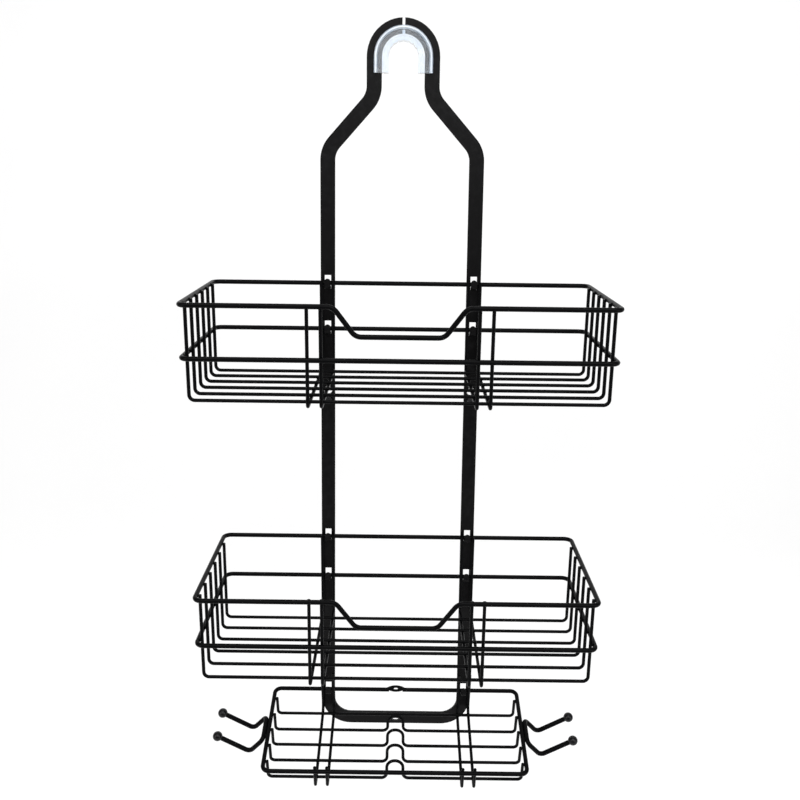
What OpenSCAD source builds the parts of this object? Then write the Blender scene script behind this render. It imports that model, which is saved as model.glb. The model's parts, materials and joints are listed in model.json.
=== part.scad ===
// Hanging shower caddy: a bottle-shaped flat-strip frame with a clear saddle liner,
// two lift-off wire baskets, and a sloping wire soap shelf with double side hooks.
// X runs left to right, Y points back to the wall, Z is up.
// The origin is the axis of the shower arm, which lies along Y in the saddle.

/* [Frame] */
// Width of the flat steel strip
strip_w = 11.5; // [9:0.5:13]
// Thickness of the flat steel strip
strip_t = 2; // [1.6:0.1:2.4]
// Radius of the strip's centreline round the crown
crown_r = 22; // [21:0.5:24]
// Distance from the middle of the caddy to each rail's centreline, at the shoulder
rail_x = 57.8; // [54:0.1:62]
// How much further out each rail is at the bottom
rail_spread = 3.8; // [0:0.1:4]
// Depth below the arm where the neck turns into the shoulder
neck_drop = 28.5; // [26:0.5:34]
// Angle of the shoulders away from the vertical
shoulder_angle = 42; // [36:1:48]
// Width of the slit at the top of the crown
crown_slit = 2; // [1:0.5:3]
// Bend radius of the neck and the shoulders
shoulder_r = 20; // [14:1:22]
// Depth of the bottom bar's centreline below the arm
frame_drop = 572; // [566:1:600]
// Bend radius of the two bottom corners
bottom_r = 20.5; // [16:0.5:26]

/* [Splice between the frame's two lengths] */
// Depth of the lower length's top ends
splice_top = 254.5; // [250:0.5:257]
// Depth of the upper length's bottom ends
splice_bottom = 273; // [272:0.5:276]
// Size across the clear part of the saddle for the shower arm
arm_seat_r = 11.2; // [10.8:0.1:12.5]

/* [Saddle liner] */
// How far the liner's lips reach out over the strip's faces
lip_reach = 6.2; // [4:0.2:8]
// Thickness of each lip
lip_t = 1.3; // [1:0.1:1.8]
// Width of the pad that sits on the arm, front to back
pad_depth = 10; // [8:0.5:14]
// Length of the straight legs below the arch
liner_leg = 11.6; // [8:0.2:16]
// Number of grip grooves round the pad
groove_count = 9; // [5:2:11]

/* [Wire] */
// Radius of the rim and ring wire
rim_r = 1.8; // [1.5:0.1:2]
// Radius of the floor and cross wires
wire_r = 1.3; // [1:0.1:1.4]
// Radius of the side hooks' wire
hook_r = 2; // [1.6:0.1:2.2]
// Radius of the ball on each hook's tip
ball_r = 4.1; // [3.6:0.1:5]

/* [Baskets] */
// Width of a basket, between the rim's side centrelines
basket_w = 300; // [280:1:320]
// Depth of a basket, between the back and front centrelines
basket_d = 120.5; // [119:0.5:126]
// Height from the middle ring up to the top rim
ring_h = 37; // [32:1:40]
// Height from the floor wires up to the top rim
floor_h = 68.5; // [60:0.5:72]
// Depth of the upper basket's rim below the arm
upper_drop = 171; // [165:1:175]
// Depth of the lower basket's rim below the arm
lower_drop = 391; // [380:1:400]
// Half width of the dip in the front rim, at its top
dip_top = 45.5; // [40:0.5:47]
// Depth of the dip
dip_h = 20.4; // [16:0.4:24]

/* [Soap shelf] */
// Width of the shelf, between the rim's side centrelines
shelf_w = 219; // [200:1:230]
// Depth of the shelf, back to front
shelf_d = 89; // [87:1:92]
// Height from the shelf's floor wires up to its rim
shelf_h = 18.5; // [17:0.5:20]
// Depth of the shelf's back rim below the arm
shelf_drop = 541.5; // [538:0.5:543]
// Slope of the shelf, down towards the front
shelf_tilt = 14; // [10:0.5:14]
// Spacing of the shelf's floor wires
shelf_pitch = 16.4; // [15.8:0.1:16.8]
// Half width of the razor loops, between the wires' centrelines
loop_half = 6.9; // [6:0.1:8]

/* [Hidden] */
$fn = 48;
weld = 0.2;                                  // how far welded wires sink into each other
lap = 0.25;                                  // how far a sloping length runs on into its bends,
over = 0.02;                                 // and how much fuller it is there, so the two join
play = 0.3;                                  // gap round a rim wire that sits on its tongues
face_y = -strip_t / 2;                       // the upper length's front face
rim_y = face_y - play - rim_r;               // back rim's centreline, upper basket
lower_y = strip_t;                           // the lower length lies behind the upper one
tongue_w = 4.8;
tongue_gap = 2 * (rim_r + play);
tongue_y = face_y - tongue_gap - strip_t / 2; // tongue's centreline in front of the strip
tongue_bend = strip_t / 2 + 1;
seat_z = -rim_r - play - strip_t / 2;        // tongue's centreline under the rim wire
tip_z = 3.7;
window_top = 6;
slot_w = 6.6;
slot_h = 7;
slot_drop = splice_top + 6;
screw_drop = splice_bottom - 4.5;
screw_r = 2;
screw_head_r = 3;
screw_head_h = 1.8;
hole_play = 0.1;
end_r = 2.5;
arc_steps = 12;
bar_eye_w = 6.2;
bar_eye_h = 4.6;
bar_eye_drop = frame_drop + 0.8;
bar_rim = 2.1;                               // width of the raised rim round the bar's eye,
bar_rim_t = 0.5;                             // and how far it stands out
shoulder_drop = neck_drop + (rail_x - crown_r) / tan(shoulder_angle);
// A rail's distance from the middle, at a depth below the arm
function rail_at(drop) = rail_x + rail_spread * (drop - shoulder_drop) / (frame_drop - shoulder_drop);

rim_corner_r = 6;
dip_r = 8;
dip_bottom = dip_top - dip_h * 3 / 4;        // the dip's sides slope by 4 in 3
floor_count = 6;
floor_back = 19;                             // from the back rim to the first floor wire
floor_pitch = 18.6;
floor_corner_r = 4;
cross_r = 2.3;
cross_offset = 4.7;                          // from a rail's centreline to each cross wire
nub_h = 2;                                   // how far the cross wires stand above the rim
inside = rim_r + wire_r - weld;              // from a rim's centreline to a wire welded inside it
below = 2 * wire_r - weld;                   // from a floor wire down to a cross wire

shelf_corner_r = 5.5;
shelf_floor_count = 5;
shelf_back = 13.8;
first_back = 12;                           // from the back rim to the floor wire with no loop
shelf_cross_offset = 5;
shelf_floor_r = 3.5;
back_bend_r = 8.6;
stub_h = 22;                                 // how far the shelf's cross wires rise behind the rim
front_stub = 1.5;
loop_r = 6.6;
entry_r = 4.5;
loop_depth = shelf_pitch + 0.6;
eye_half = 8.6;
eye_h = 6.8;
eye_rise = 1.4;
eye_t = 1.4;
eye_hole_w = 4.2;
eye_hole_h = 3.2;

hook_back = 32.5;                            // the hooks' places along the shelf's side
hook_front = 57.5;
leg_angle = 50;                              // the first leg's slope down from the rim
leg_len = 15;
vee_angle = 85;                              // the turn from the first leg to the second
vee_r = 4.5;
tip_len = 27.8;                              // the second leg, to the middle of the ball
hook_bend_r = 4.5;
ball_bore = 3.2;                             // how far the wire goes into the ball

SIDES = ["left", "right"];
UPPER_FLOOR = [for (i = [1:floor_count]) str("upper_floor_wire_", i)];
LOWER_FLOOR = [for (i = [1:floor_count]) str("lower_floor_wire_", i)];
UPPER_CROSS = [for (i = [1:4]) str("upper_cross_wire_", i)];
LOWER_CROSS = [for (i = [1:4]) str("lower_cross_wire_", i)];
SHELF_FLOOR = [for (i = [1:shelf_floor_count]) str("shelf_floor_wire_", i)];
SHELF_CROSS = [for (i = [1:4]) str("shelf_cross_wire_", i)];

// ---- Bent wire and bent strip ----

function unit(v) = v / norm(v);
function heading(p, i, n) = unit(p[(i + 1) % n] - p[i % n]);
function turn(a, b) = acos(max(-1, min(1, a * b)));
function setback(a, b, r) = r * tan(turn(a, b) / 2);
// A matrix whose columns are the axes x, y and z, and the place o
function placed(x, y, z, o) = [
    [x[0], y[0], z[0], o[0]],
    [x[1], y[1], z[1], o[1]],
    [x[2], y[2], z[2], o[2]],
    [0, 0, 0, 1]];
// Any direction square to u
function square_to(u) = unit(cross(u, abs(u[2]) < 0.9 ? [0, 0, 1] : [1, 0, 0]));

// One straight length of the section, which is a child, from a to b.
// The section's x axis lies across the length and its y axis along wide.
module straight(a, b, wide) {
    if (norm(b - a) > 0.001) {
        u = unit(b - a);
        multmatrix(placed(cross(wide, u), wide, u, a))
            linear_extrude(height = norm(b - a)) children();
    }
}

// One bend of the section at corner p, from heading u to heading v
module bend(p, u, v, r) {
    inward = unit(v - u * (u * v));
    start = p - u * setback(u, v, r);
    multmatrix(placed(-inward, u, cross(-inward, u), start + inward * r))
        rotate_extrude(angle = turn(u, v)) translate([r, 0]) children();
}

// A section, which is a child, swept along straight lengths joined by bends.
// r gives the bend radius at each corner, and wide is the section's y axis.
module swept(p, r, wide = undef, closed = false) {
    n = len(p);
    last = closed ? n - 1 : n - 2;
    for (i = [0:last]) {
        u = heading(p, i, n);
        before = closed || i > 0 ? setback(heading(p, i + n - 1, n), u, r[i]) : 0;
        after = closed || i < last ? setback(u, heading(p, i + 1, n), r[(i + 1) % n]) : 0;
        straight(p[i] + u * before, p[(i + 1) % n] - u * after,
            is_undef(wide) ? square_to(u) : wide) children();
    }
    for (i = [closed ? 0 : 1:closed ? n - 1 : n - 2])
        bend(p[i], heading(p, i + n - 1, n), heading(p, i, n), r[i]) children();
}

module wire(p, radius, bend_r) {
    swept(p, [for (q = p) bend_r]) circle(radius);
}

module wire_loop(p, radius, bend_r) {
    swept(p, [for (q = p) bend_r], closed = true) circle(radius);
}

// ---- Frame ----

function left_of(u) = [-u[1], u[0]];
function turned(v, a) = [v[0] * cos(a) - v[1] * sin(a), v[0] * sin(a) + v[1] * cos(a)];

// Points along one side of a strip that follows path p, out to the left of its centreline.
// r gives the bend radius at each inner point of the path.
function strip_side(p, r, out) =
    let (n = len(p), first = unit(p[1] - p[0]), last = unit(p[n - 1] - p[n - 2]))
    concat(
        [p[0] + left_of(first) * out],
        [for (i = [1:n - 2])
            let (u = unit(p[i] - p[i - 1]), v = unit(p[i + 1] - p[i]))
            let (side = left_of(u) * v > 0 ? 1 : -1, a = turn(u, v))
            let (centre = p[i] - u * r[i - 1] * tan(a / 2) + left_of(u) * side * r[i - 1])
            for (k = [0:arc_steps])
                centre - side * (r[i - 1] - side * out) * turned(left_of(u), side * a * k / arc_steps)],
        [p[n - 1] + left_of(last) * out]);

function reversed(p) = [for (i = [len(p) - 1:-1:0]) p[i]];

// A strip in the XZ plane that follows path p
module flat_strip(p, r) {
    rotate([90, 0, 0]) linear_extrude(height = strip_t, center = true)
        polygon(concat(strip_side(p, r, strip_w / 2), reversed(strip_side(p, r, -strip_w / 2))));
}

// Takes the two sharp corners off a strip's free end at [x, z]; up is 1 or -1
module rounded_end(x, z, up) {
    for (side = [-1, 1])
        translate([x + side * (strip_w / 2 - end_r), 0, z - up * end_r])
            difference() {
                translate([side * end_r, 0, up * end_r]) cube([2 * end_r, 2 * strip_t, 2 * end_r], center = true);
                rotate([90, 0, 0]) cylinder(r = end_r, h = 3 * strip_t, center = true);
            }
}

module across(r, h) {
    rotate([90, 0, 0]) cylinder(r = r, h = h, center = true);
}

// A hole through the strip with round ends, w wide and h high
module obround(w, h, through) {
    r = min(w, h) / 2;
    cube([w - (h > w ? 0 : 2 * r), through, h - (h > w ? 2 * r : 0)], center = true);
    for (s = [-1, 1]) translate([s * (w / 2 - r), 0, s * (h / 2 - r)]) across(r, through);
}

// The hole that a tongue leaves in the strip, for a rim wire at z = 0
module tongue_window() {
    bottom = seat_z - tongue_bend;
    translate([0, 0, (window_top + bottom) / 2])
        cube([tongue_w + 0.4, 2 * strip_t, window_top - bottom], center = true);
}

// The tongue cut from the strip and bent forward and up round a rim wire at z = 0
module tongue() {
    disc_z = tip_z - tongue_w / 2;
    swept([[0, 0, seat_z - tongue_bend - 0.5], [0, 0, seat_z], [0, tongue_y, seat_z], [0, tongue_y, disc_z]],
        [0, tongue_bend, tongue_bend, 0], wide = [1, 0, 0]) square([strip_t, tongue_w], center = true);
    translate([0, tongue_y, disc_z]) across(tongue_w / 2, strip_t);
}

module tongues(drops) {
    for (drop = drops) translate([rail_at(drop), 0, -drop]) tongue();
}

module tongue_windows(drops) {
    for (drop = drops) translate([rail_at(drop), 0, -drop]) tongue_window();
}

module splice_holes() {
    translate([rail_at(slot_drop), 0, -slot_drop]) obround(slot_w, slot_h, 4 * strip_t);
}

module on_both_sides() {
    for (side = [0, 1]) mirror([side, 0, 0]) children();
}

upper_seats = [upper_drop, upper_drop + ring_h];
lower_seats = [lower_drop, lower_drop + ring_h, shelf_drop];

// The right-hand upper length, from the slit in the crown down to the splice
module upper_rail() {
    difference() {
        flat_strip([[0, crown_r], [crown_r, crown_r], [crown_r, -neck_drop], [rail_x, -shoulder_drop],
            [rail_at(splice_bottom), -splice_bottom]], [crown_r, shoulder_r, shoulder_r]);
        translate([-1, -strip_t, 0]) cube([1 + crown_slit / 2, 2 * strip_t, 2 * crown_r]);
        tongue_windows(upper_seats);
        splice_holes();
        translate([rail_at(screw_drop), 0, -screw_drop]) across(screw_r + hole_play, 4 * strip_t);
        rounded_end(rail_at(splice_bottom), -splice_bottom, -1);
    }
    tongues(upper_seats);
}

module lower_frame() {
    top = [rail_at(splice_top), -splice_top];
    corner = [rail_at(frame_drop), -frame_drop];
    color("#17181a")
        translate([0, lower_y, 0]) {
            difference() {
                union() {
                    flat_strip([[-top[0], top[1]], [-corner[0], corner[1]], corner, top], [bottom_r, bottom_r]);
                    translate([0, -strip_t / 2, -bar_eye_drop])
                        obround(bar_eye_w + 2 * bar_rim, bar_eye_h + 2 * bar_rim, 2 * bar_rim_t);
                }
                on_both_sides() {
                    tongue_windows(lower_seats);
                    splice_holes();
                    translate([rail_at(screw_drop), 0, -screw_drop]) across(screw_r, 2 * strip_t);
                    rounded_end(top[0], top[1], 1);
                }
                translate([0, 0, -bar_eye_drop]) obround(bar_eye_w, bar_eye_h, 2 * strip_t);
            }
            on_both_sides() tongues(lower_seats);
        }
}

// Round-headed screws, driven from the front into the lower length and flush with its back
module splice_screws() {
    head_y = face_y - screw_head_h;
    color("#26272a")
        on_both_sides() translate([rail_at(screw_drop), 0, -screw_drop]) rotate([-90, 0, 0]) {
            difference() {
                translate([0, 0, head_y]) cylinder(r = screw_head_r, h = screw_head_h);
                for (turn = [0, 90]) rotate(turn)
                    translate([0, 0, head_y]) cube([3.6, 0.7, 1.8], center = true);
            }
            translate([0, 0, face_y]) cylinder(r = screw_r, h = lower_y + strip_t / 2 - face_y);
        }
}

// ---- Saddle liner ----

strip_in = crown_r - strip_w / 2;            // radius of the strip's inner edge
liner_clear = 0.1;
bead_r = 1.5;                                // the round bead along each lip's edge

// Half section of the liner: x is the distance from the arm's axis, y is front to back
module liner_section() {
    lip_y = strip_t / 2 + liner_clear + lip_t;
    edge = strip_in - liner_clear;
    difference() {
        union() {
            translate([arm_seat_r, -pad_depth / 2]) square([edge - arm_seat_r - 1.2, pad_depth]);
            translate([edge - 1.2 - 0.01, -lip_y]) square([lip_reach + 1.2 - lip_t, 2 * lip_y]);
            for (s = [-1, 1])
                translate([edge + lip_reach - bead_r, s * (lip_y - lip_t + bead_r - 0.15)]) circle(bead_r);
        }
        translate([edge, -strip_t / 2 - liner_clear])
            square([lip_reach + 2 * lip_t, strip_t + 2 * liner_clear]);
    }
}

module saddle_liner() {
    groove_step = 160 / (groove_count - 1);
    color([0.80, 0.88, 0.94, 0.55])
        difference() {
            union() {
                rotate([90, 0, 0]) rotate_extrude(angle = 180) liner_section();
                for (side = [0, 1]) mirror([side, 0, 0])
                    translate([0, 0, -liner_leg]) linear_extrude(height = liner_leg)
                        liner_section();
            }
            for (i = [0:groove_count - 1])
                rotate([0, 10 + i * groove_step, 0])
                    translate([-arm_seat_r, 0, 0]) across(0.55, pad_depth + 2);
        }
}

// ---- Baskets ----

// The closed top rim with the dip in its front; back rim on y = 0, z = 0
module top_rim() {
    x = basket_w / 2;
    swept([[-x, 0, 0], [x, 0, 0], [x, -basket_d, 0],
        [dip_top, -basket_d, 0], [dip_bottom, -basket_d, -dip_h],
        [-dip_bottom, -basket_d, -dip_h], [-dip_top, -basket_d, 0], [-x, -basket_d, 0]],
        [rim_corner_r, rim_corner_r, rim_corner_r, dip_r, dip_r, dip_r, dip_r, rim_corner_r],
        closed = true) circle(rim_r);
    for (s = [-1, 1]) {
        top = [s * dip_top, -basket_d, 0];
        bottom = [s * dip_bottom, -basket_d, -dip_h];
        u = unit(bottom - top);
        straight(top + u * (dip_r / 2 - lap), bottom - u * (dip_r / 2 - lap), square_to(u))
            circle(rim_r + over);
        straight(top + [s * (dip_r / 2 - lap), 0, 0], top + [s * dip_r, 0, 0], [0, 0, 1])
            circle(rim_r + over);
    }
    translate([0, -basket_d, -dip_h]) rotate([0, 90, 0])
        cylinder(r = rim_r + over, h = 2 * (dip_bottom - dip_r / 2 + lap), center = true);
}

module middle_ring() {
    x = basket_w / 2;
    translate([0, 0, -ring_h])
        wire_loop([[-x, 0, 0], [x, 0, 0], [x, -basket_d, 0], [-x, -basket_d, 0]], rim_r, rim_corner_r);
}

// Floor wire i, counted from the back, with both ends welded inside the rim and the ring
module floor_wire(i) {
    x = basket_w / 2 - inside;
    y = -floor_back - (i - 1) * floor_pitch;
    wire([[-x, y, 0.5], [-x, y, -floor_h], [x, y, -floor_h], [x, y, 0.5]], wire_r, floor_corner_r);
}

function cross_x(i, rail, offset) = (i < 3 ? -rail : rail) + (i % 2 == 1 ? -offset : offset);

// Cross wire i, counted from the left: up the back, under the floor and up the front
module cross_wire(i, rail) {
    x = cross_x(i, rail, cross_offset);
    z = -floor_h - below;
    front = -basket_d + inside;
    wire([[x, -inside, nub_h], [x, -inside, z], [x, front, z], [x, front, 0.5]], wire_r, cross_r);
}

module upper_place() { translate([0, rim_y, -upper_drop]) children(); }
module lower_place() { translate([0, rim_y + lower_y, -lower_drop]) children(); }

// ---- Soap shelf ----

module shelf_place() {
    translate([0, rim_y + lower_y, -shelf_drop]) rotate([shelf_tilt, 0, 0]) children();
}

// The eye pressed flat in the middle of the back rim
module rim_eye() {
    arc_r = (eye_half * eye_half + eye_h * eye_h / 4) / eye_h;
    translate([0, 0, eye_rise])
        difference() {
            intersection() {
                translate([0, 0, eye_h / 2 - arc_r]) across(arc_r, eye_t);
                translate([0, 0, arc_r - eye_h / 2]) across(arc_r, eye_t + 2);
            }
            obround(eye_hole_w, eye_hole_h, 2 * eye_t);
        }
}

module shelf_rim() {
    x = shelf_w / 2;
    color("#17181a") shelf_place() {
        difference() {
            wire_loop([[-x, 0, 0], [x, 0, 0], [x, -shelf_d, 0], [-x, -shelf_d, 0]], rim_r, shelf_corner_r);
            cube([2 * eye_half - 5, 4 * rim_r, 4 * rim_r], center = true);
        }
        rim_eye();
    }
}

// Floor wire i, counted from the back; all but the first have a razor loop bent into them
module shelf_floor_wire(i) {
    x = shelf_w / 2 - inside;
    y = i == 1 ? -first_back : -shelf_back - (i - 1) * shelf_pitch;
    z = -shelf_h;
    back = i == 2 ? -first_back - 2 * wire_r + weld : y + loop_depth;
    left = [[-x, y, 0.5], [-x, y, z]];
    right = [[x, y, z], [x, y, 0.5]];
    loop = [[-loop_half, y, z], [-loop_half, back, z], [loop_half, back, z], [loop_half, y, z]];
    color("#17181a") shelf_place()
        if (i == 1) wire(concat(left, right), wire_r, shelf_floor_r);
        else swept(concat(left, loop, right),
            [0, shelf_floor_r, entry_r, loop_r, loop_r, entry_r, shelf_floor_r, 0]) circle(wire_r);
}

module shelf_cross_wire(i) {
    x = cross_x(i, rail_at(shelf_drop), shelf_cross_offset);
    z = -shelf_h - below;
    front = -shelf_d + inside;
    color("#17181a") shelf_place()
        swept([[x, -inside, stub_h], [x, -inside, z], [x, front, z], [x, front, front_stub]],
            [0, back_bend_r, cross_r, 0]) circle(wire_r);
}

// Puts a piece at one hook arm: x runs out along the arm's first leg, down from the rim
module at_arm(y) {
    translate([shelf_w / 2 + rim_r + hook_r - weld, y, 0]) rotate([0, leg_angle, 0]) children();
}

// Puts a piece at the start of the arm's second leg, which runs up to the ball
module at_second_leg() {
    translate([leg_len, 0, vee_r]) rotate([0, -vee_angle, 0]) translate([0, 0, -vee_r]) children();
}

module rod(r, length) {
    rotate([0, 90, 0]) cylinder(r = r, h = length);
}

// The double hook on one side: one wire with two arms and a length welded to the rim
module side_hook() {
    middle = (hook_back + hook_front) / 2;
    for (end = [-1, 1])
        at_arm(-middle + end * (hook_front - hook_back) / 2) {
            mirror([0, end > 0 ? 0 : 1, 0]) translate([hook_bend_r, -hook_bend_r, 0])
                rotate([0, 0, 90]) rotate_extrude(angle = 90) translate([hook_bend_r, 0]) circle(hook_r);
            translate([hook_bend_r, 0, 0]) rod(hook_r, leg_len - hook_bend_r);
            translate([leg_len, 0, vee_r]) rotate([90, 0, 0])
                rotate([0, 0, -90]) rotate_extrude(angle = vee_angle) translate([vee_r, 0]) circle(hook_r);
            at_second_leg() translate([-lap, 0, 0]) rod(hook_r + over, tip_len - ball_r + ball_bore + lap);
        }
    translate([shelf_w / 2 + rim_r + hook_r - weld, -middle, 0]) rotate([90, 0, 0])
        cylinder(r = hook_r + over, h = hook_front - hook_back - 2 * (hook_bend_r - lap), center = true);
}

// Both balls of one side, each bored for its wire
module hook_balls() {
    for (y = [-hook_back, -hook_front])
        at_arm(y) at_second_leg() difference() {
            translate([tip_len, 0, 0]) sphere(r = ball_r);
            translate([tip_len - 2 * ball_r, 0, 0]) rod(hook_r + over, ball_r + ball_bore);
        }
}

module on_side(side) {
    color("#17181a") shelf_place() mirror([side == "left" ? 1 : 0, 0, 0]) children();
}

// ---- Parts ----

color("#17181a") mirror([1, 0, 0]) upper_rail();  // upper_rail_left
color("#17181a") upper_rail();  // upper_rail_right
lower_frame();
saddle_liner();
splice_screws();
color("#17181a") upper_place() top_rim();  // upper_top_rim
color("#17181a") upper_place() middle_ring();  // upper_middle_ring
color("#17181a") lower_place() top_rim();  // lower_top_rim
color("#17181a") lower_place() middle_ring();  // lower_middle_ring
for (i = [1:floor_count]) {
    color("#1b1c1e") upper_place() floor_wire(i);
    color("#1b1c1e") lower_place() floor_wire(i);
}
for (i = [1:4]) {
    color("#1b1c1e") upper_place() cross_wire(i, rail_at(upper_drop + ring_h));
    color("#1b1c1e") lower_place() cross_wire(i, rail_at(lower_drop + ring_h));
    shelf_cross_wire(i);
}
shelf_rim();
for (i = [1:shelf_floor_count])
    shelf_floor_wire(i);
for (side = SIDES) {
    on_side(side) side_hook();
    on_side(side) hook_balls();
}
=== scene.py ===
"""The shower caddy's looks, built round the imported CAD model: materials, weld beads, camera, light and stage."""

import json
import math
import random

import bmesh
import bpy
from mathutils import Euler, Matrix, Vector
from mathutils.bvhtree import BVHTree
from mathutils.geometry import intersect_ray_tri


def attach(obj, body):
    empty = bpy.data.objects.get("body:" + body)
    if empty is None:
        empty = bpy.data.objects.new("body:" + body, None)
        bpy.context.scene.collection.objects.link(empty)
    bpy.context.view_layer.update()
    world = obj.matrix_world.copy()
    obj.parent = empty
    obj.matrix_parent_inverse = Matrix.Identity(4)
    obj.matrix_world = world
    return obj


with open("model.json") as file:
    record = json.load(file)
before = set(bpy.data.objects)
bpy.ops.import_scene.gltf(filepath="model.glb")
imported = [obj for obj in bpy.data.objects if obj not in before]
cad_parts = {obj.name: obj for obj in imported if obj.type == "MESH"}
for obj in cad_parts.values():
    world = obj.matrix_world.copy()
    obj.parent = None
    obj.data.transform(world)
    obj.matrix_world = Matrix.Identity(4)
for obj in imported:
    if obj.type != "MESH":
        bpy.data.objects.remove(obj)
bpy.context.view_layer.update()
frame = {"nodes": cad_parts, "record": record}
nodes = frame["nodes"]
record = frame["record"]

MM = 0.001
LIP_INSIDE = 16 * MM       # the liner's lips, measured out from the saddle's middle line
LIP_OUTSIDE = 22.4 * MM

# ---------------------------------------------------------------- materials


def new_material(name):
    """An empty node material with its output and one Principled shader."""
    mat = bpy.data.materials.new(name)
    mat.use_nodes = True
    tree = mat.node_tree
    tree.nodes.clear()
    out = tree.nodes.new("ShaderNodeOutputMaterial")
    shader = tree.nodes.new("ShaderNodeBsdfPrincipled")
    tree.links.new(shader.outputs["BSDF"], out.inputs["Surface"])
    return mat, tree, shader


def add(tree, kind, **inputs):
    """A node with its named inputs set."""
    node = tree.nodes.new(kind)
    for key, value in inputs.items():
        node.inputs[key.replace("_", " ")].default_value = value
    return node


def object_coords(tree):
    """Coordinates in metres that ride with the piece."""
    return tree.nodes.new("ShaderNodeTexCoord").outputs["Object"]


def noise(tree, coords, scale, detail=2.0, rough=0.5):
    """Soft noise; scale is in features for each metre."""
    node = add(tree, "ShaderNodeTexNoise", Scale=scale, Detail=detail, Roughness=rough)
    tree.links.new(coords, node.inputs["Vector"])
    return node.outputs["Fac"]


def ramp(tree, value, stops):
    """A colour ramp over value; stops are (position, colour or grey level)."""
    node = tree.nodes.new("ShaderNodeValToRGB")
    tree.links.new(value, node.inputs["Fac"])
    points = node.color_ramp.elements
    while len(points) < len(stops):
        points.new(0.5)
    for point, (pos, colour) in zip(points, stops):
        point.position = pos
        if not isinstance(colour, tuple):
            colour = (colour, colour, colour)
        point.color = (*colour, 1.0)
    return node.outputs["Color"]


def bump(tree, height, strength, distance, normal=None):
    """A bumped normal, laid over another one if given."""
    node = add(tree, "ShaderNodeBump", Strength=strength, Distance=distance)
    tree.links.new(height, node.inputs["Height"])
    if normal is not None:
        tree.links.new(normal, node.inputs["Normal"])
    return node.outputs["Normal"]


def powder_coat(name, dark, light, worn, rough_low, rough_high, gloss, peel=520.0, wear=True):
    """Satin black powder coat: a fine orange peel, a faint mottle, and edges rubbed a little paler."""
    mat, tree, shader = new_material(name)
    coords = object_coords(tree)
    mottle = noise(tree, coords, 90.0, 3.0, 0.5)
    colour = ramp(tree, mottle, [(0.25, dark), (0.8, light)])
    if wear:
        geometry = tree.nodes.new("ShaderNodeNewGeometry")
        edges = ramp(tree, geometry.outputs["Pointiness"], [(0.52, 0.0), (0.6, 1.0)])
        scuff = ramp(tree, noise(tree, coords, 210.0, 3.0, 0.65), [(0.45, 0.0), (0.75, 1.0)])
        both = tree.nodes.new("ShaderNodeMath")
        both.operation = "MULTIPLY"
        tree.links.new(edges, both.inputs[0])
        tree.links.new(scuff, both.inputs[1])
        mix = tree.nodes.new("ShaderNodeMix")
        mix.data_type = "RGBA"
        tree.links.new(both.outputs[0], mix.inputs["Factor"])
        tree.links.new(colour, mix.inputs["A"])
        mix.inputs["B"].default_value = (*worn, 1.0)
        colour = mix.outputs["Result"]
    tree.links.new(colour, shader.inputs["Base Color"])
    rough = ramp(tree, noise(tree, coords, 120.0, 2.0, 0.5), [(0.2, rough_low), (0.8, rough_high)])
    tree.links.new(rough, shader.inputs["Roughness"])
    coarse = bump(tree, noise(tree, coords, peel, 2.0, 0.45), 0.22, 0.12 * MM)
    fine = bump(tree, noise(tree, coords, peel * 4.6, 2.0, 0.5), 0.16, 0.03 * MM, coarse)
    tree.links.new(fine, shader.inputs["Normal"])
    shader.inputs["Specular IOR Level"].default_value = gloss
    return mat


def arch_radius(tree, coords):
    """Distance from the saddle's middle line: round over the arm, straight down its legs."""
    split = tree.nodes.new("ShaderNodeSeparateXYZ")
    tree.links.new(coords, split.inputs["Vector"])
    above = tree.nodes.new("ShaderNodeMath")
    above.operation = "MAXIMUM"
    tree.links.new(split.outputs["Z"], above.inputs[0])
    above.inputs[1].default_value = 0.0
    flat = tree.nodes.new("ShaderNodeCombineXYZ")
    tree.links.new(split.outputs["X"], flat.inputs["X"])
    tree.links.new(above.outputs[0], flat.inputs["Z"])
    length = tree.nodes.new("ShaderNodeVectorMath")
    length.operation = "LENGTH"
    tree.links.new(flat.outputs["Vector"], length.inputs[0])
    return length.outputs["Value"]


def clear_plastic(name):
    """Clear soft vinyl: glossy outside, faintly milky at random, with a moulded ripple; a milkier band round the
    lip's edge is a painted highlight.
    """
    mat, tree, shader = new_material(name)
    coords = object_coords(tree)
    haze = noise(tree, coords, 110.0, 3.0, 0.6)
    tree.links.new(ramp(tree, haze, [(0.3, (0.70, 0.79, 0.90)), (0.7, (0.90, 0.94, 0.98))]),
                   shader.inputs["Base Color"])
    tree.links.new(ramp(tree, haze, [(0.25, 0.05), (0.8, 0.16)]), shader.inputs["Roughness"])
    milk = ramp(tree, noise(tree, coords, 70.0, 2.0, 0.5), [(0.35, 0.9), (0.7, 0.98)])
    # Painted highlight: the lip turns milkier in a thin band at a set distance from the saddle's middle line,
    # standing in for the bright reflection along its bead.
    span = tree.nodes.new("ShaderNodeMapRange")
    tree.links.new(arch_radius(tree, coords), span.inputs["Value"])
    span.inputs["From Min"].default_value = LIP_INSIDE
    span.inputs["From Max"].default_value = LIP_OUTSIDE
    painted_highlight_band = ramp(tree, span.outputs["Result"],
                 [(0.0, 1.0), (0.62, 1.0), (0.74, 0.35), (0.82, 0.35), (0.92, 0.95)])
    clear = tree.nodes.new("ShaderNodeMath")
    clear.operation = "MULTIPLY"
    tree.links.new(milk, clear.inputs[0])
    tree.links.new(painted_highlight_band, clear.inputs[1])
    tree.links.new(clear.outputs[0], shader.inputs["Transmission Weight"])
    ripple = bump(tree, noise(tree, coords, 200.0, 2.0, 0.5), 0.3, 0.2 * MM)
    tree.links.new(ripple, shader.inputs["Normal"])
    shader.inputs["IOR"].default_value = 1.5
    return mat


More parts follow.
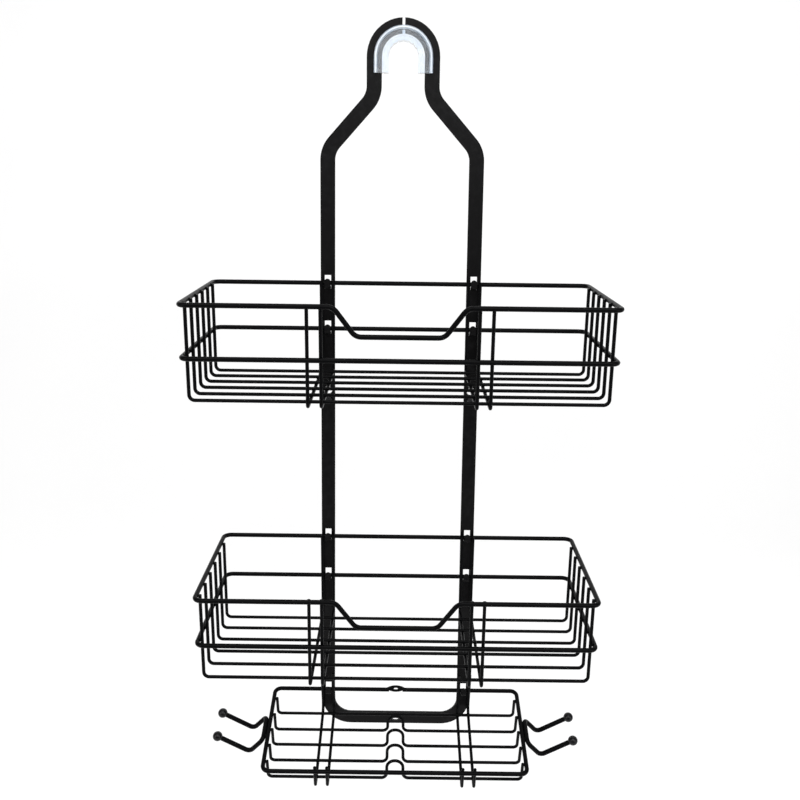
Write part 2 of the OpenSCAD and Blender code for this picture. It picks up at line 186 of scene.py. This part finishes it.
def ball_plastic(name):
    """Glossy black dipped tip."""
    mat, tree, shader = new_material(name)
    coords = object_coords(tree)
    deep, lit = (0.0015, 0.0015, 0.002), (0.004, 0.004, 0.0046)
    tree.links.new(ramp(tree, noise(tree, coords, 160.0, 3.0), [(0.35, deep), (0.7, lit)]),
                   shader.inputs["Base Color"])
    rough = ramp(tree, noise(tree, coords, 240.0, 2.0), [(0.3, 0.16), (0.7, 0.26)])
    tree.links.new(rough, shader.inputs["Roughness"])
    skin = bump(tree, noise(tree, coords, 420.0, 2.0), 0.12, 0.08 * MM)
    tree.links.new(skin, shader.inputs["Normal"])
    shader.inputs["Specular IOR Level"].default_value = 0.22
    return mat


MATERIALS = {
    "black_frame": powder_coat("black_powder_coat", (0.0018, 0.0017, 0.0019), (0.0028, 0.0026, 0.0029),
                               (0.0065, 0.0063, 0.0068), 0.33, 0.4, 0.11),
    "black_wire": powder_coat("black_wire_coat", (0.0008, 0.0008, 0.001), (0.0016, 0.0016, 0.002),
                              (0.02, 0.02, 0.02), 0.26, 0.38, 0.05, peel=700.0, wear=False),
    "black_fastener": powder_coat("black_fastener_coat", (0.006, 0.006, 0.0065), (0.012, 0.012, 0.013),
                                  (0.06, 0.06, 0.062), 0.24, 0.34, 0.35, peel=900.0),
    "black_tip": ball_plastic("black_tip_plastic"),
    "clear_liner": clear_plastic("clear_vinyl"),
}


def dress(obj, slot_name):
    """Give a piece the material of its slot and nothing else."""
    obj.data.materials.clear()
    obj.data.materials.append(MATERIALS[slot_name])


for part in record["subparts"]:
    dress(nodes[part["node"]], part["material_slot"])

# ---------------------------------------------------------------- weld beads

BEAD_R = 1.35 * MM
SAME_WELD = 5 * MM        # crossings closer than this belong to one weld


def solid_of(obj):
    """(points, triangles, search tree) of a CAD node in the row frame."""
    mesh = obj.data
    mesh.calc_loop_triangles()
    points = [obj.matrix_world @ v.co for v in mesh.vertices]
    triangles = [tuple(t.vertices) for t in mesh.loop_triangles]
    return points, triangles, BVHTree.FromPolygons(points, triangles)


def crossings(corners, face):
    """Where the edges of one triangle pass through another."""
    for i in range(3):
        start, end = corners[i], corners[(i + 1) % 3]
        hit = intersect_ray_tri(*face, end - start, start, True)
        if hit is not None and 0 <= (hit - start).dot(end - start) <= (end - start).length_squared:
            yield hit


def weld_centres(first, second):
    """The middle of each place where two welded wires sink into each other."""
    points_a, triangles_a, tree_a = first
    points_b, triangles_b, tree_b = second
    clusters = []
    for i, j in tree_a.overlap(tree_b):
        corners = [points_a[k] for k in triangles_a[i]]
        face = [points_b[k] for k in triangles_b[j]]
        for hit in [*crossings(corners, face), *crossings(face, corners)]:
            near = next((c for c in clusters if (c[0] - hit).length < SAME_WELD), None)
            if near is None:
                clusters.append([hit])
            else:
                near.append(hit)
    for hits in clusters:
        low = Vector([min(h[k] for h in hits) for k in range(3)])
        high = Vector([max(h[k] for h in hits) for k in range(3)])
        yield (low + high) / 2


def weld_beads(body):
    """One piece holding the small uneven beads at every spot weld of a body."""
    names = record["behaviour"]["bodies"][body]
    solids = {name: solid_of(nodes[name]) for name in names if not name.startswith("hook_balls")}
    rng = random.Random(body)
    build = bmesh.new()
    for a, b in record["behaviour"]["press_fits"]:
        if a not in solids or b not in solids:
            continue
        for centre in weld_centres(solids[a], solids[b]):
            size = Vector([BEAD_R * rng.uniform(0.92, 1.1) for _ in range(3)])
            spin = Euler([rng.uniform(0, math.pi) for _ in range(3)]).to_matrix().to_4x4()
            place = Matrix.Translation(centre) @ spin @ Matrix.Diagonal((*size, 1.0))
            bmesh.ops.create_uvsphere(build, u_segments=14, v_segments=8, radius=1.0, matrix=place)
    for face in build.faces:
        face.smooth = True
    mesh = bpy.data.meshes.new(body + "_weld_beads")
    build.to_mesh(mesh)
    build.free()
    obj = bpy.data.objects.new(mesh.name, mesh)
    bpy.context.scene.collection.objects.link(obj)
    dress(obj, "black_wire")
    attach(obj, body)


for welded in ("upper_basket", "lower_basket", "soap_shelf"):
    weld_beads(welded)

# ---------------------------------------------------------------- camera

CAMERA_AT = Vector((0.54, -719.5, -74.9)) * MM
CAMERA_PITCH = 0.2627
CAMERA_ROLL = 0.0123
FOCAL_PIXELS = 894.0
IMAGE_SIZE = 800.0
SENSOR_MM = 36.0

cam_data = bpy.data.cameras.new("photo_camera")
cam_data.sensor_width = SENSOR_MM
cam_data.lens = FOCAL_PIXELS / IMAGE_SIZE * SENSOR_MM
cam_data.clip_start = 0.01
cam_data.clip_end = 50.0
camera = bpy.data.objects.new("photo_camera", cam_data)
look = Euler((math.pi / 2 - CAMERA_PITCH, 0, 0)).to_matrix()
turned = look @ Matrix.Rotation(CAMERA_ROLL, 3, "Z")
camera.matrix_world = Matrix.Translation(CAMERA_AT) @ turned.to_4x4()
bpy.context.scene.collection.objects.link(camera)
bpy.context.scene.camera = camera

# ---------------------------------------------------------------- stage and light

FLOOR_Z = -0.75
FRONT_Y = -0.95
BACK_Y = 1.3
TOP_Z = 3.5
HALF_WIDTH = 5.0
SWEEP_R = 0.5
SWEEP_STEPS = 16


def stage_material():
    """Pale paper that glows a little, as if lit from behind."""
    mat, tree, shader = new_material("pale_sweep")
    coords = object_coords(tree)
    tone = ramp(tree, noise(tree, coords, 1.5, 3.0, 0.5), [(0.3, 0.42), (0.7, 0.45)])
    tree.links.new(tone, shader.inputs["Base Color"])
    shader.inputs["Roughness"].default_value = 0.9
    shader.inputs["Specular IOR Level"].default_value = 0.0
    shader.inputs["Emission Color"].default_value = (1.0, 1.0, 1.0, 1.0)
    shader.inputs["Emission Strength"].default_value = 0.6
    return mat


def sweep():
    """A floor that curves up into a backdrop."""
    profile = [(FRONT_Y, FLOOR_Z), (BACK_Y - SWEEP_R, FLOOR_Z)]
    for i in range(1, SWEEP_STEPS + 1):
        a = -math.pi / 2 + i * math.pi / (2 * SWEEP_STEPS)
        profile.append((BACK_Y - SWEEP_R + SWEEP_R * math.cos(a),
                        FLOOR_Z + SWEEP_R + SWEEP_R * math.sin(a)))
    profile.append((BACK_Y, TOP_Z))
    mesh = bpy.data.meshes.new("sweep")
    verts = [(x, y, z) for y, z in profile for x in (-HALF_WIDTH, HALF_WIDTH)]
    faces = [(2 * i, 2 * i + 1, 2 * i + 3, 2 * i + 2) for i in range(len(profile) - 1)]
    mesh.from_pydata(verts, [], faces)
    for face in mesh.polygons:
        face.use_smooth = True
    obj = bpy.data.objects.new("sweep", mesh)
    bpy.context.scene.collection.objects.link(obj)
    mesh.materials.append(stage_material())


def area_light(name, at, target, size, power):
    """A white softbox; places and size in metres, power in watts."""
    data = bpy.data.lights.new(name, "AREA")
    data.shape = "RECTANGLE"
    data.size, data.size_y = size
    data.energy = power
    obj = bpy.data.objects.new(name, data)
    obj.location = at
    obj.rotation_euler = (Vector(target) - Vector(at)).to_track_quat("-Z", "Y").to_euler()
    bpy.context.scene.collection.objects.link(obj)


def studio_world():
    """White to look at, and dimmer as a light, so that black gloss stays black."""
    world = bpy.data.worlds.new("studio")
    world.use_nodes = True
    tree = world.node_tree
    tree.nodes.clear()
    out = tree.nodes.new("ShaderNodeOutputWorld")
    seen = add(tree, "ShaderNodeBackground", Color=(0.95, 0.95, 0.95, 1.0), Strength=1.0)
    lit = add(tree, "ShaderNodeBackground", Color=(1.0, 1.0, 1.0, 1.0), Strength=0.3)
    mix = tree.nodes.new("ShaderNodeMixShader")
    path = tree.nodes.new("ShaderNodeLightPath")
    tree.links.new(path.outputs["Is Camera Ray"], mix.inputs[0])
    tree.links.new(lit.outputs["Background"], mix.inputs[1])
    tree.links.new(seen.outputs["Background"], mix.inputs[2])
    tree.links.new(mix.outputs["Shader"], out.inputs["Surface"])
    return world


sweep()
CENTRE = (0, 0, -0.28)
area_light("front", (0.3, -1.5, 0.5), (0.3, 0, 0.45), (1.6, 1.0), 10.0)
area_light("overhead", (0, -0.85, 0.95), CENTRE, (1.6, 0.6), 14.0)
area_light("left", (-1.0, -0.85, -0.1), CENTRE, (0.4, 1.0), 5.0)
area_light("right", (1.0, -0.85, -0.1), CENTRE, (0.4, 1.0), 5.0)
area_light("behind", (0, 0.5, 1.3), CENTRE, (1.4, 0.6), 4.0)

bpy.context.scene.view_settings.view_transform = "Standard"
bpy.context.scene.world = studio_world()
